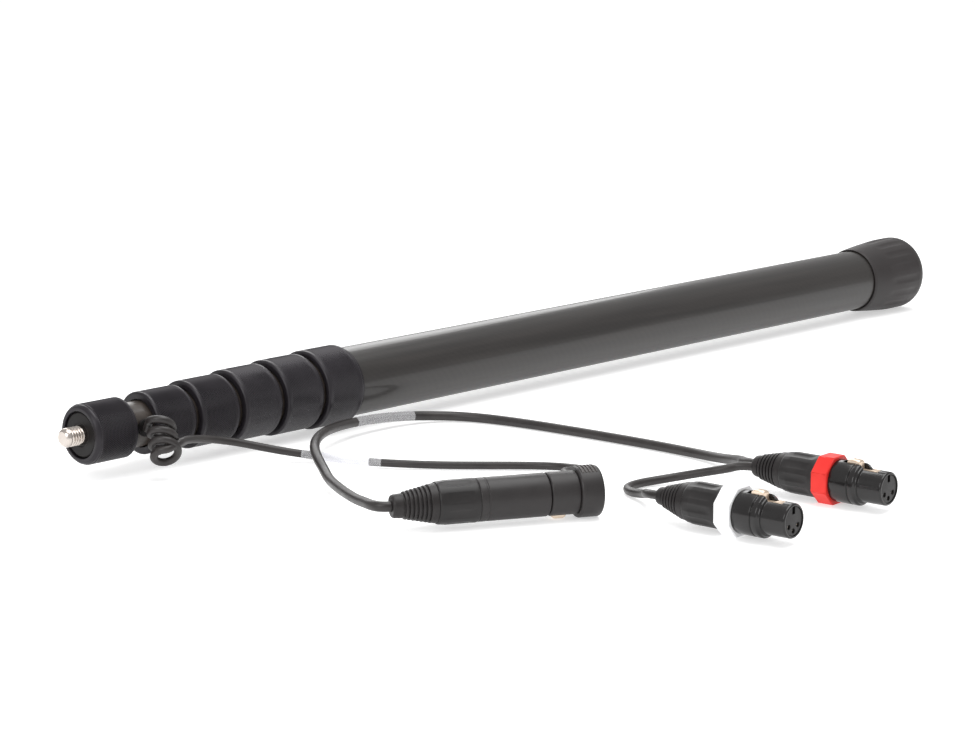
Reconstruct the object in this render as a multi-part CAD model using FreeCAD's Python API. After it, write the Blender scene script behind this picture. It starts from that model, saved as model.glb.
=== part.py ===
import FreeCAD, Part
import math
import os

# A closed six-section, internally cabled boom pole with the short lead at its tip and a
# Y cable plugged into that lead. Millimetres. Stations along the pole are measured from the
# free end of the stud, which points to -X. export() moves the origin to the middle of the
# pole, on the surface that it lies on.
V = FreeCAD.Vector

# Pole: driving dimensions
pole_length = 680.0
base_tube_diameter = 37.0
tube_diameter_step = 2.8
tube_wall = 1.0
cap_radius = 22.5
axis_height = cap_radius
stud_radius = 9.525 / 2                  # 3/8 inch thread, major diameter
stud_reach = 10.5
stud_shank_radius = 4.2                  # inside the tip plug
stud_rear = 34.0
head_length = 25.5
head_radius = 15.2
front_tube_station = 18.0                # front end of the tip tube, inside the head ring
collar_radii = [20.8, 19.8, 18.7, 17.35, 15.8]
collar_length = 24.5
collar_pitch = 27.6
first_collar_station = 47.8              # front of the smallest collar
tube_setback = 8.0                       # from a collar's front to its tube's front end
rear_step = 14.0
rear_station = 640.0                     # rear end of section 2's tube
base_tube_rear = 668.0
running_gap = 0.3
cable_hole_station = 42.0
cable_hole_height = 0.6                  # above the pole's axis, on its -Y side
cable_hole_radius = 3.4
grommet_radius = 4.4
ferrule_wall = 0.9
ferrule_overrun = 1.6                    # the threaded sleeve shows behind its collar
bush_spigot = 8.0
bush_flange = 4.0
cap_front = 628.0
cap_lip_radius = 19.6
cap_end_rounding = 9.0
cap_grooves = 16
socket_front = 650.0
socket_floor = 664.0
socket_rear = 676.0
socket_bore = 8.2
socket_pin_end = 673.0
inner_coil_front = 50.0
inner_coil_rear = 574.0
inner_coil_radius = 6.5

# Connectors and cords
shell_radius = 10.2
nose_radius = 7.95
nose_length = 13.2
nose_groove = 0.8                        # relief at the nose's root
coding_ring_radius = 12.4
insert_radius = 6.8
pin_radius = 0.75
contact_circle = 3.9
latch_width = 4.6
latch_pivot_setback = 10.0               # from the nose's root back to the latch's pivot
boot_end = 18.7
ring_front = 38.6
ring_rear = 47.2
female_length = 75.0
pair_boot_end = 20.9
pair_shell_front = 40.5
pair_seam = 74.4                         # from the boot's end to the mating face
low_shell_length = 14.4
low_cap_length = 11.2
low_cap_radius = 12.0
low_cord_entry = 6.2                     # from the cap's end to the cord's bore
low_cord_rise = 2.0
pole_lead_radius = 2.0
y_lead_radius = 2.5
white_leg_radius = 2.15
label_wall = 0.5
red_entries = [(2.2, y_lead_radius), (-2.5, white_leg_radius)]
white_entries = [(0.0, white_leg_radius)]

# Where the loose pieces lie: the cord end of each connector, and the way that its nose points
pair_tip = V(45.4, -181.4, 12.0)
pair_heading = -27.9
red_tip = V(225.7, -248.7, 11.5)
red_heading = -85.5
white_tip = V(147.7, -254.4, 11.5)
white_heading = -86.0
coil_top = V(40.6, -24.0, 31.0)
coil_bottom = V(39.7, -32.0, 8.0)
coil_radius = 8.1

section_count = 6


def tube_radius(section):
    """Outer radius of a section's tube; section 1 is the base."""
    return (base_tube_diameter - tube_diameter_step * (section - 1)) / 2


def collar_front(number):
    """Station of a collar's front face; collar 1 sits on the base tube."""
    return first_collar_station + collar_pitch * (section_count - 1 - number)


def tube_front(section):
    if section == section_count:
        return front_tube_station
    return collar_front(section) + tube_setback


def tube_rear(section):
    if section == 1:
        return base_tube_rear
    return rear_station - rear_step * (section - 2)


# Helpers
def turned(profile):
    """A solid of revolution about X from (x, radius) corners in order."""
    wire = Part.makePolygon([V(x, 0, r) for x, r in profile] + [V(profile[0][0], 0, profile[0][1])])
    return Part.Face(wire).revolve(V(0, 0, 0), V(1, 0, 0), 360)


def rod(x0, x1, radius, y=0.0, z=0.0):
    return Part.makeCylinder(radius, x1 - x0, V(x0, y, z), V(1, 0, 0))


def ring(x0, x1, outer, inner):
    return turned([(x0, inner), (x0, outer), (x1, outer), (x1, inner)])


def block(x0, x1, y0, y1, z0, z1):
    return Part.makeBox(x1 - x0, y1 - y0, z1 - z0, V(x0, y0, z0))


def arc_points(centre_x, centre_r, radius, start, end, steps):
    """Corners along an arc of a turned profile, angles in degrees from +X."""
    angles = [math.radians(start + (end - start) * i / steps) for i in range(steps + 1)]
    return [(centre_x + radius * math.cos(a), centre_r + radius * math.sin(a)) for a in angles]


def placed(shape, tip, heading):
    """Moves a connector from its own frame (cord end at the origin, nose to +X) to where it lies."""
    moved = shape.copy()
    moved.Placement = FreeCAD.Placement(tip, FreeCAD.Rotation(V(0, 0, 1), heading))
    return moved


def on_axis(shape):
    moved = shape.copy()
    moved.translate(V(0, 0, axis_height))
    return moved


def export(node, shape):
    moved = shape.copy()
    moved.translate(V(-pole_length / 2, 0, 0))
    if not moved.isValid():
        print("INVALID", node)
    moved.exportStep("parts/%s.step" % node)


# Pole pieces
def section_tube(section):
    radius = tube_radius(section)
    tube = ring(tube_front(section), tube_rear(section), radius, radius - tube_wall)
    if section == section_count:
        hole = Part.makeCylinder(cable_hole_radius, radius + 5, V(cable_hole_station, 0, cable_hole_height),
                                 V(0, -1, 0))
        tube = tube.cut(hole)
    return tube


def ferrule(number):
    """Threaded sleeve glued round a tube's front end; the collar turns on it."""
    radius = tube_radius(number)
    front = tube_front(number)
    rear = collar_front(number) + collar_length + ferrule_overrun
    return ring(front, rear, radius + ferrule_wall, radius + 0.01)


def collet(number):
    """Split taper ring in front of a tube, squeezed by the collar on to the next tube."""
    bore = tube_radius(number + 1) + running_gap
    outer = tube_radius(number) + 0.5
    front = collar_front(number) + 2.6
    rear = tube_front(number) - 0.1
    body = turned([(front, bore), (front, outer - 0.9), (front + 2.4, outer), (rear, outer), (rear, bore)])
    slit_count = 6
    for i in range(slit_count):
        slit = block(front - 1, rear - 1.4, -0.4, 0.4, 0, outer + 2)
        slit.rotate(V(0, 0, 0), V(1, 0, 0), 360.0 * i / slit_count)
        body = body.cut(slit)
    return body


def collar(number):
    """Clamping collar with chamfered rims and a taper seat for its collet."""
    outer = collar_radii[number - 1]
    bore = tube_radius(number + 1) + 0.5
    chamber = tube_radius(number) + ferrule_wall + 0.25
    front = collar_front(number)
    rear = front + collar_length
    chamfer = 0.9
    return turned([
        (front, bore), (front, outer - chamfer), (front + chamfer, outer), (rear - chamfer, outer),
        (rear, outer - chamfer), (rear, chamber), (front + 4.8, chamber), (front + 2.3, chamber - 0.9),
        (front + 2.3, bore),
    ])


def rear_bush(section):
    """Guide bush at an inner tube's rear end: a spigot in the tube and a flange in the next one."""
    inner = tube_radius(section) - tube_wall
    guide = tube_radius(section - 1) - tube_wall - running_gap
    rear = tube_rear(section)
    return turned([
        (rear - bush_spigot, inner - 1.4), (rear - bush_spigot, inner - 0.01), (rear, inner - 0.01),
        (rear, guide), (rear + bush_flange, guide), (rear + bush_flange, inner - 1.4),
    ])


def head_ring():
    front = stud_reach
    rear = front + head_length
    bore = tube_radius(section_count) + running_gap
    chamfer = 1.2
    return turned([
        (front, bore), (front, head_radius - chamfer), (front + chamfer, head_radius),
        (rear - chamfer, head_radius), (rear, head_radius - chamfer), (rear, bore),
    ])


def tip_plug():
    """Flanged plug in the tip tube that holds the stud."""
    radius = tube_radius(section_count)
    spigot = radius - tube_wall - 0.05
    front = stud_reach + 0.7
    bore = stud_shank_radius + 0.01
    return turned([
        (front, bore), (front, radius - 0.6), (front + 0.6, radius), (front_tube_station - 0.01, radius),
        (front_tube_station - 0.01, spigot), (stud_rear + 2, spigot), (stud_rear + 2, bore),
    ])


def thread_stud():
    """Plain cylinder at the thread's major diameter, with a thinner shank in the tip plug."""
    chamfer = 1.0
    return turned([
        (0, 0), (0, stud_radius - chamfer), (chamfer, stud_radius), (stud_reach - 0.5, stud_radius),
        (stud_reach - 0.5, stud_shank_radius), (stud_rear, stud_shank_radius), (stud_rear, 0),
    ])


def cable_grommet():
    """Flanged bush in the tip tube's cable hole, on its -Y side."""
    wall = tube_radius(section_count)
    z = cable_hole_height
    sleeve_start = V(cable_hole_station, -wall + 1.6, z)
    sleeve = Part.makeCylinder(cable_hole_radius - 0.02, 3.2, sleeve_start, V(0, -1, 0))
    flange = Part.makeCylinder(grommet_radius, 1.2, V(cable_hole_station, -wall - 0.05, z), V(0, -1, 0))
    bore = Part.makeCylinder(pole_lead_radius + 0.02, 20, V(cable_hole_station, 0, z), V(0, -1, 0))
    tube_clear = rod(cable_hole_station - 8, cable_hole_station + 8, wall + 0.02)
    return sleeve.fuse(flange.cut(tube_clear)).cut(bore)


def base_socket():
    """Five-pin male outlet: a flanged plug in the base tube with a recessed barrel, and its pins."""
    inner = tube_radius(1) - tube_wall - 0.02
    housing = turned([
        (socket_front, 0), (socket_front, inner), (base_tube_rear, inner), (base_tube_rear, shell_radius),
        (socket_rear, shell_radius), (socket_rear, socket_bore), (socket_floor, socket_bore), (socket_floor, 0),
    ])
    pins = [rod(socket_floor + 0.01, socket_pin_end, pin_radius, y, z) for y, z in pin_positions()]
    return Part.makeCompound([housing] + pins)


def base_cap():
    """Rounded end cap that screws over the base tube; its end has a bore for the outlet."""
    bore = tube_radius(1) + running_gap
    end_centre = pole_length - cap_end_rounding
    flare = [(4, 20.2), (16, 21.4), (27, 22.3), (32, cap_radius)]
    profile = [(cap_front, bore), (cap_front, cap_lip_radius)]
    profile += [(cap_front + along, radius) for along, radius in flare]
    profile += arc_points(end_centre, cap_radius - cap_end_rounding, cap_end_rounding, 90, 0, 6)
    profile += [(pole_length, shell_radius + 0.5), (base_tube_rear + 1, shell_radius + 0.5),
                (base_tube_rear + 1, bore)]
    cap = turned(profile)
    for i in range(cap_grooves):
        groove = Part.makeCylinder(2.2, 26, V(cap_front + 30, 0, cap_radius + 1.5), V(1, 0, 0))
        groove.rotate(V(0, 0, 0), V(1, 0, 0), 360.0 * (i + 0.5) / cap_grooves)
        cap = cap.cut(groove)
    return cap


def inner_coil():
    """Outer shape of the curly cable inside the tip section."""
    return rod(inner_coil_front, inner_coil_rear, inner_coil_radius)


def pin_positions():
    """Five contacts on a circle, with a wide space at the keyway side."""
    angles = [math.radians(a) for a in (-120, -60, 0, 60, 120)]
    return [(contact_circle * math.sin(a), contact_circle * math.cos(a)) for a in angles]


# Cords: straight runs joined by tangent arcs
def cord_wire(points, name):
    edges = []
    here = points[0]
    smallest = 1e9
    for before, corner, after in zip(points, points[1:], points[2:]):
        back = before - corner
        ahead = after - corner
        turn = math.pi - back.getAngle(ahead)
        trim = 0.45 * min(back.Length, ahead.Length)
        smallest = min(smallest, trim / math.tan(turn / 2))
        start = corner + back.normalize() * trim
        end = corner + ahead.normalize() * trim
        bisector = (back + ahead).normalize()
        radius = trim / math.tan(turn / 2)
        middle = corner + bisector * (radius / math.cos(turn / 2) - radius)
        edges.append(Part.LineSegment(here, start).toShape())
        edges.append(Part.Arc(start, middle, end).toShape())
        here = end
    edges.append(Part.LineSegment(here, points[-1]).toShape())
    wire = Part.Wire(edges)
    print("%-16s length %.1f smallest radius %.1f" % (name, wire.Length, smallest))
    return wire


def cord_tube(points, radius, name):
    wire = cord_wire(points, name)
    direction = points[1] - points[0]
    circle = Part.Wire(Part.makeCircle(radius, points[0], direction))
    tube = wire.makePipeShell([circle], True, False, 2)
    expected = math.pi * radius ** 2 * wire.Length
    print("%-16s volume ratio %.4f" % (name, tube.Volume / expected))
    return tube


def exit_coil():
    """Outer shape of the few turns that hang from the cable hole, with the stub that enters it."""
    axis = coil_bottom - coil_top
    body = Part.makeCylinder(coil_radius, axis.Length, coil_top, axis)
    stub_z = axis_height + cable_hole_height
    stub = Part.makeCylinder(pole_lead_radius, 10, V(cable_hole_station, -8.5, stub_z), V(0, -1, 0))
    return body.fuse(stub)


pole_lead_route = [
    V(38.6, -31.9, 18.8), V(43.0, -33.0, 19.2), V(51.0, -31.2, 18.4), V(61.0, -28.2, 16.9),
    V(71.0, -27.0, 14.9), V(80.0, -28.2, 12.8), V(88.5, -31.8, 10.6), V(97.0, -38.2, 8.0),
    V(106.5, -46.2, 5.4), V(115.0, -55.5, 3.8), V(120.8, -68.0, 3.1), V(126.5, -82.0, 2.9),
    V(135.0, -96.0, 2.8), V(148.5, -111.5, 2.3), V(165.5, -129.5, 2.3), V(179.5, -145.0, 2.4),
    V(186.5, -158.5, 2.8), V(184.5, -173.0, 4.4), V(175.5, -184.5, 7.0), V(163.5, -192.0, 10.0),
    V(152.0, -193.5, 12.6), V(144.0, -197.2, 13.8), V(139.1, -204.7, 14.0), V(131.9, -218.3, 14.0),
]

y_lead_route = [
    V(45.4, -181.4, 12.0), V(41.6, -178.9, 12.0), V(41.6, -172.5, 11.8), V(45.5, -164.5, 10.9),
    V(50.0, -154.0, 9.8), V(57.0, -140.5, 8.8), V(66.8, -124.3, 7.2), V(79.5, -104.0, 5.6),
    V(87.5, -91.5, 7.4), V(94.5, -79.5, 10.0), V(103.5, -67.5, 11.4), V(115.5, -55.5, 11.4),
    V(130.0, -44.0, 10.6), V(147.0, -33.5, 9.2), V(166.5, -27.2, 8.0), V(187.0, -25.4, 6.8),
    V(205.5, -26.0, 5.2), V(221.0, -30.0, 3.6), V(233.5, -40.0, 2.9), V(241.0, -56.0, 2.7),
    V(246.0, -79.0, 2.7), V(249.5, -106.0, 2.7), V(252.5, -136.0, 2.7), V(254.5, -165.0, 2.7),
    V(254.0, -189.0, 2.9), V(250.5, -206.0, 4.0), V(244.0, -220.0, 6.6), V(235.5, -232.0, 9.6),
    V(227.4, -239.5, 11.4), V(228.0, -250.0, 11.5),
]

white_leg_route = [
    V(223.3, -250.4, 11.5), V(222.3, -241.9, 11.2), V(216.5, -237.0, 9.4), V(212.0, -226.0, 6.6),
    V(206.5, -215.5, 3.8), V(197.0, -209.5, 2.6), V(186.5, -206.6, 2.3), V(176.5, -208.5, 2.3),
    V(170.5, -216.5, 2.6), V(167.0, -228.0, 4.2), V(159.5, -237.0, 7.4), V(147.4, -245.4, 11.2),
    V(147.8, -255.9, 11.5),
]


def label_sleeve(points, cord_radius, cord, name):
    """Blank heat-shrink label round a stretch of cord."""
    return cord_tube(points, cord_radius + label_wall, name).cut(cord)


def part_way(route, index, fraction):
    return route[index] + (route[index + 1] - route[index]) * fraction


def label_points(route, first, last, entry, leave):
    """A stretch of a route, starting and ending inside the straight middles of two runs."""
    return [part_way(route, first, entry)] + route[first + 1:last + 1] + [part_way(route, last, leave)]


# Connector pieces in their own frame: cord end at x = 0, nose to +X, up is +Z
def boot(length, tip_radius, end_radius, rib_count, tip_length, bores):
    """Ribbed rubber strain relief with one or two cord entries."""
    pitch = (length - tip_length - 2.5) / rib_count
    profile = [(0, 0), (0, tip_radius - 0.4), (0.6, tip_radius), (tip_length, tip_radius + 0.3)]
    for i in range(rib_count):
        x = tip_length + pitch * i
        radius = tip_radius + 0.6 + (end_radius - tip_radius - 0.6) * (i + 1) / rib_count
        rib = x + pitch * 0.4
        profile += [(x, radius - 1.3), (rib, radius - 1.3), (rib, radius), (x + pitch, radius)]
    profile += [(length, end_radius + 0.5), (length, 0)]
    body = turned(profile)
    for y, radius in bores:
        body = body.cut(rod(-1, 12.0, radius + 0.02, y))
    return body


def bushing(x0, x1, rear_radius, front_radius, bore, flutes):
    """Clamping bushing with long shallow flutes."""
    body = turned([(x0, 0), (x0, rear_radius - 0.5), (x0 + 0.5, rear_radius), (x0 + 4, front_radius),
                   (x1, front_radius), (x1, bore), (x0 + 3, bore), (x0 + 3, 0)])
    for i in range(flutes):
        flute = Part.makeCylinder(1.6, x1 - x0 - 5.5, V(x0 + 1.5, 0, front_radius + 0.9), V(1, 0, 0))
        flute.rotate(V(0, 0, 0), V(1, 0, 0), 360.0 * (i + 0.5) / flutes)
        body = body.cut(flute)
    return body


def latch(pivot_x, nose_x, radius):
    """Sprung bar above the insert: round pivot at the rear, push tab on the shell, hook on the nose."""
    half = latch_width / 2
    pivot = Part.makeCylinder(0.5, latch_width, V(pivot_x, -half, nose_radius - 1.3), V(0, 1, 0))
    bar = block(pivot_x, nose_x + 7.5, -half, half, nose_radius - 1.8, nose_radius - 0.8)
    tab = block(pivot_x + 1.0, nose_x - 2.0, -half, half, nose_radius - 0.8, radius + 1.3)
    hook = block(nose_x + 3.5, nose_x + 7.5, -half, half, nose_radius - 0.8, nose_radius - 0.45)
    return bar.fuse([pivot, tab, hook])


def latch_slot(pivot_x, nose_x):
    """The room that the latch needs in shell and insert, with its inward travel."""
    half = latch_width / 2 + running_gap
    return block(pivot_x - 0.6, nose_x + 8.2, -half, half, nose_radius - 4.2, 30.0)


def female_shell(x0, nose_x, end_x, body_radius):
    shell = turned([
        (x0, insert_radius + 0.05), (x0, body_radius), (nose_x - 1.0, body_radius), (nose_x, body_radius - 1.0),
        (nose_x, nose_radius - 0.3), (nose_x + nose_groove, nose_radius - 0.3), (nose_x + nose_groove, nose_radius),
        (end_x - 0.5, nose_radius), (end_x, nose_radius - 0.5),
        (end_x, insert_radius + 0.05),
    ])
    return shell.cut(latch_slot(nose_x - latch_pivot_setback - 0.5, nose_x))


def female_insert(x0, nose_x, end_x, contacts):
    insert = rod(x0, end_x - 0.4, insert_radius)
    for y, z in contacts:
        insert = insert.cut(rod(end_x - 11.5, end_x + 1, pin_radius + running_gap, y, z))
    return insert.cut(latch_slot(nose_x - latch_pivot_setback - 0.5, nose_x))


def coding_ring(x0, x1):
    """Eight-sided coding ring."""
    sides = 8
    corners = []
    for i in range(sides + 1):
        angle = 2 * math.pi * (i + 0.5) / sides
        corners.append(V(x0, coding_ring_radius * math.cos(angle), coding_ring_radius * math.sin(angle)))
    prism = Part.Face(Part.makePolygon(corners)).extrude(V(x1 - x0, 0, 0))
    return prism.cut(rod(x0 - 1, x1 + 1, shell_radius - 0.4))


def three_contacts():
    angles = [math.radians(a) for a in (-115, 115, 180)]
    return [(contact_circle * math.sin(a), contact_circle * math.cos(a) - 0.6) for a in angles]


def export_female_cable_end(prefix, tip, heading, entries):
    """A three-pin female cable connector with its coding ring."""
    nose_x = female_length - nose_length
    tip_radius = 5.2 if len(entries) > 1 else 4.2
    insert_front = ring_front - 2
    shell = female_shell(ring_front, nose_x, female_length, shell_radius)
    neck = ring(ring_front - 1, ring_rear, 40, shell_radius - 0.42)
    pieces = {
        "boot": boot(boot_end, tip_radius, 8.8, 6, 3.6, entries),
        "bushing": bushing(boot_end, ring_front, 9.6, shell_radius, insert_radius + 0.4, 10),
        "ring": coding_ring(ring_front, ring_rear),
        "shell": shell.cut(neck),
        "insert": female_insert(insert_front, nose_x, female_length, three_contacts()),
        "latch": latch(nose_x - latch_pivot_setback, nose_x, shell_radius),
    }
    for name, shape in pieces.items():
        export("%s_%s" % (prefix, name), placed(shape, tip, heading))


def export_mated_pair():
    """The Y cable's five-pin male plug, and the pole's low-profile female plug inside its shell."""
    nose_end = pair_seam - 0.2
    nose_start = nose_end - nose_length
    barrel = nose_radius + running_gap
    male = {
        "plug_boot": boot(pair_boot_end, 5.5, 8.9, 7, 4.9, [(0, y_lead_radius)]),
        "plug_bushing": bushing(pair_boot_end, pair_shell_front, 9.9, shell_radius + 0.15, 7.2, 8),
        "plug_shell": turned([
            (pair_shell_front, 7.4), (pair_shell_front, shell_radius), (pair_seam - 0.3, shell_radius),
            (pair_seam, shell_radius - 0.3), (pair_seam, barrel), (nose_start - 1.0, barrel), (nose_start - 1.0, 7.4),
        ]),
        "plug_insert": rod(pair_shell_front + 4, nose_start - 1.0, 7.38).fuse(
            [rod(nose_start - 1.5, nose_start + 8.5, pin_radius, y, z) for y, z in pin_positions()]),
    }
    # The low-profile plug is built from its cap's end forwards, then turned round to face the male plug
    cap_end = pair_seam + low_shell_length + low_cap_length
    length = cap_end - nose_start
    root = length - nose_length - 0.6
    female = {
        "low_shell": female_shell(low_cap_length, root, length, shell_radius),
        "low_insert": female_insert(low_cap_length + 2, root, length, [(-y, -z) for y, z in pin_positions()]),
        "low_latch": latch(root - latch_pivot_setback + 0.6, root, shell_radius),
        "low_cap": low_cap(low_cap_length),
        "low_clamp": low_clamp(),
    }
    for name, shape in male.items():
        export(name, placed(shape, pair_tip, pair_heading))
    turned_round = FreeCAD.Rotation(V(0, 0, 1), 180).multiply(FreeCAD.Rotation(V(1, 0, 0), 180))
    for name, shape in female.items():
        facing = shape.copy()
        facing.Placement = FreeCAD.Placement(V(cap_end, 0, 0), turned_round)
        export(name, placed_again(facing))


def placed_again(shape):
    """Places a shape that already has a placement in the mated pair's frame."""
    outer = FreeCAD.Placement(pair_tip, FreeCAD.Rotation(V(0, 0, 1), pair_heading))
    moved = shape.copy()
    moved.Placement = outer.multiply(shape.Placement)
    return moved


def low_cap(length):
    """Turning cap behind the low-profile shell, hollow, with a side entry for the cord."""
    cap = turned([(0, 0), (0, low_cap_radius - 0.8), (0.8, low_cap_radius), (length - 0.6, low_cap_radius),
                  (length, low_cap_radius - 0.6), (length, 8.6), (1.6, 8.6), (1.6, 0)])
    cord_bore = Part.makeCylinder(4.0, 16, V(low_cord_entry, 0, -low_cord_rise), V(0, 1, 0))
    return cap.cut(low_clamp_block(0.05)).cut(cord_bore)


def low_clamp_block(gap):
    return block(2.2 - gap, 9.6 + gap, -6.0 - gap, 6.0 + gap, -13.0, -7.0 + gap)


def low_clamp():
    """Ribbed clamp block on the cap's upper side that grips the cord, rounded like the cap."""
    clamp = low_clamp_block(0).common(rod(0, 12, low_cap_radius + 0.3))
    for i in range(4):
        clamp = clamp.cut(block(3.0 + i * 1.6, 3.7 + i * 1.6, -7, 7, -13, -11.4))
    return clamp


def main():
    os.makedirs("parts", exist_ok=True)
    for section in range(1, section_count + 1):
        name = "base_tube" if section == 1 else "tube_%d" % section
        export(name, on_axis(section_tube(section)))
    for number in range(1, section_count):
        export("ferrule_%d" % number, on_axis(ferrule(number)))
        export("collet_%d" % number, on_axis(collet(number)))
        export("collar_%d" % number, on_axis(collar(number)))
        export("rear_bush_%d" % (number + 1), on_axis(rear_bush(number + 1)))
    export("head_ring", on_axis(head_ring()))
    export("tip_plug", on_axis(tip_plug()))
    export("thread_stud", on_axis(thread_stud()))
    export("cable_grommet", on_axis(cable_grommet()))
    export("base_socket", on_axis(base_socket()))
    export("base_cap", on_axis(base_cap()))
    export("inner_coil", on_axis(inner_coil()))
    export("exit_coil", exit_coil())
    pole_lead = cord_tube(pole_lead_route, pole_lead_radius, "pole_lead").cut(exit_coil())
    y_lead = cord_tube(y_lead_route, y_lead_radius, "y_lead")
    pole_label_points = label_points(pole_lead_route, 8, 11, 0.5, 0.5)
    y_label_points = label_points(y_lead_route, 14, 16, 0.2, 0.5)
    export("pole_lead", pole_lead)
    export("y_lead", y_lead)
    export("white_leg", cord_tube(white_leg_route, white_leg_radius, "white_leg"))
    export("pole_label", label_sleeve(pole_label_points, pole_lead_radius, pole_lead, "pole_label"))
    export("y_label", label_sleeve(y_label_points, y_lead_radius, y_lead, "y_label"))
    export_mated_pair()
    export_female_cable_end("red", red_tip, red_heading, red_entries)
    export_female_cable_end("white", white_tip, white_heading, white_entries)


main()
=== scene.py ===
import math

import bmesh
import bpy
from mathutils import Matrix, Vector


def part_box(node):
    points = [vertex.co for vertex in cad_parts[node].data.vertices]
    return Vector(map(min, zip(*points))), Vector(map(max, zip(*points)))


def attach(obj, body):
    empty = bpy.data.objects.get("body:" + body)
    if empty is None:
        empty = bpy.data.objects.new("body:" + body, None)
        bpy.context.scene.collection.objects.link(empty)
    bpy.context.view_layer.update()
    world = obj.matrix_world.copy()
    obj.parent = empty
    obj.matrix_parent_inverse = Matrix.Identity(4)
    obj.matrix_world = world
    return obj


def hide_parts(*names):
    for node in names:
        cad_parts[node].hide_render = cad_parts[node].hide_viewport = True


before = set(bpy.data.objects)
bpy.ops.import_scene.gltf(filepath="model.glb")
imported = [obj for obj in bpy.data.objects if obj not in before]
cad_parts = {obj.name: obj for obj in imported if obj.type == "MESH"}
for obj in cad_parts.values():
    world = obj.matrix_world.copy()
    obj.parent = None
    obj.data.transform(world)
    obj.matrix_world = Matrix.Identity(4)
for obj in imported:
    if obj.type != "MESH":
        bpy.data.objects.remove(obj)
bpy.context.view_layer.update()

# Driving values, in metres. Stations along the pole are measured from the stud's free end.
MM = 0.001
low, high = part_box("thread_stud")
stud_tip_x = low.x
axis_z = (low.z + high.z) / 2
stud_radius = (high.z - low.z) / 2
pole_lead_diameter = 4.0 * MM
y_lead_diameter = 5.0 * MM
white_leg_diameter = 4.3 * MM
shell_radius = 10.2
nose_radius = 8.1
female_length = 75.0
nose_length = 13.2
nose_start = female_length - nose_length
boot_end = 18.7
ring_front = 38.6
ring_rear = 47.2
pair_tip, pair_heading = (45.4, -181.4, 12.0), -27.9
red_tip, red_heading = (225.7, -248.7, 11.5), -85.5
white_tip, white_heading = (147.7, -254.4, 11.5), -86.0
pair_boot_end = 20.9
pair_shell_front = 40.5
pair_seam = 74.4
low_shell_length = 14.4
low_cap_length = 11.2
low_cap_radius = 12.0
insert_radius = 6.82
insert_bore = 6.9                        # of the shells round the inserts
coding_ring_radius = 12.4
contact_circle = 3.9
latch_slot_width = 5.3
latch_slot_floor = 3.7
plug_mouth_depth = 14.4                  # how deep the low-profile plug's nose goes into the other shell
cap_groove_start, cap_groove_length, cap_grooves = 644.0, 26.0, 16
cap_inner_end, cap_outlet_radius = 669.0, 10.4
cap_end_rounding = 9.0
y_cords = [(2.2, 2.5), (-2.5, 2.15)]     # sideways place and radius of the cords in the red boot
leg_cords = [(0, 2.15)]


# ---------------------------------------------------------------- materials
def new_material(name):
    material = bpy.data.materials.new(name)
    material.use_nodes = True
    nodes = material.node_tree.nodes
    return material, nodes, material.node_tree.links, nodes["Principled BSDF"]


def noise(nodes, links, scale, detail=4.0, stretch=(1, 1, 1)):
    """Object-space noise, with its own scale along each axis."""
    coords = nodes.new("ShaderNodeTexCoord")
    mapping = nodes.new("ShaderNodeMapping")
    mapping.inputs["Scale"].default_value = stretch
    texture = nodes.new("ShaderNodeTexNoise")
    texture.inputs["Scale"].default_value = scale
    texture.inputs["Detail"].default_value = detail
    links.new(coords.outputs["Object"], mapping.inputs["Vector"])
    links.new(mapping.outputs["Vector"], texture.inputs["Vector"])
    return texture


def ramp(nodes, links, source, low_value, high_value, low_at=0.3, high_at=0.7):
    """Maps a texture to a range of colours or grey values."""
    node = nodes.new("ShaderNodeValToRGB")
    as_colour = lambda v: (v, v, v, 1) if isinstance(v, float) else (*v, 1)
    node.color_ramp.elements[0].position = low_at
    node.color_ramp.elements[0].color = as_colour(low_value)
    node.color_ramp.elements[1].position = high_at
    node.color_ramp.elements[1].color = as_colour(high_value)
    links.new(source, node.inputs["Fac"])
    return node.outputs["Color"]


def bump(nodes, links, shader, height, strength, distance):
    node = nodes.new("ShaderNodeBump")
    node.inputs["Strength"].default_value = strength
    node.inputs["Distance"].default_value = distance
    links.new(height, node.inputs["Height"])
    links.new(node.outputs["Normal"], shader.inputs["Normal"])


def surface(name, dark, light, rough, metallic=0.0, grain=900.0, strength=0.15, coat=0.0,
            stretch=(1, 1, 1), wear_scale=60.0, specular=0.3):
    """A surface whose colour and roughness drift a little, with a fine grain in its bump."""
    material, nodes, links, shader = new_material(name)
    shader.inputs["Metallic"].default_value = metallic
    shader.inputs["Coat Weight"].default_value = coat
    shader.inputs["Coat Roughness"].default_value = 0.06
    shader.inputs["Specular IOR Level"].default_value = specular
    drift = noise(nodes, links, wear_scale, 5.0, stretch)
    links.new(ramp(nodes, links, drift.outputs["Fac"], dark, light), shader.inputs["Base Color"])
    links.new(ramp(nodes, links, drift.outputs["Fac"], rough[0], rough[1]), shader.inputs["Roughness"])
    fine = noise(nodes, links, grain, 3.0, stretch)
    bump(nodes, links, shader, fine.outputs["Fac"], strength, 0.00005)
    return material


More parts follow.
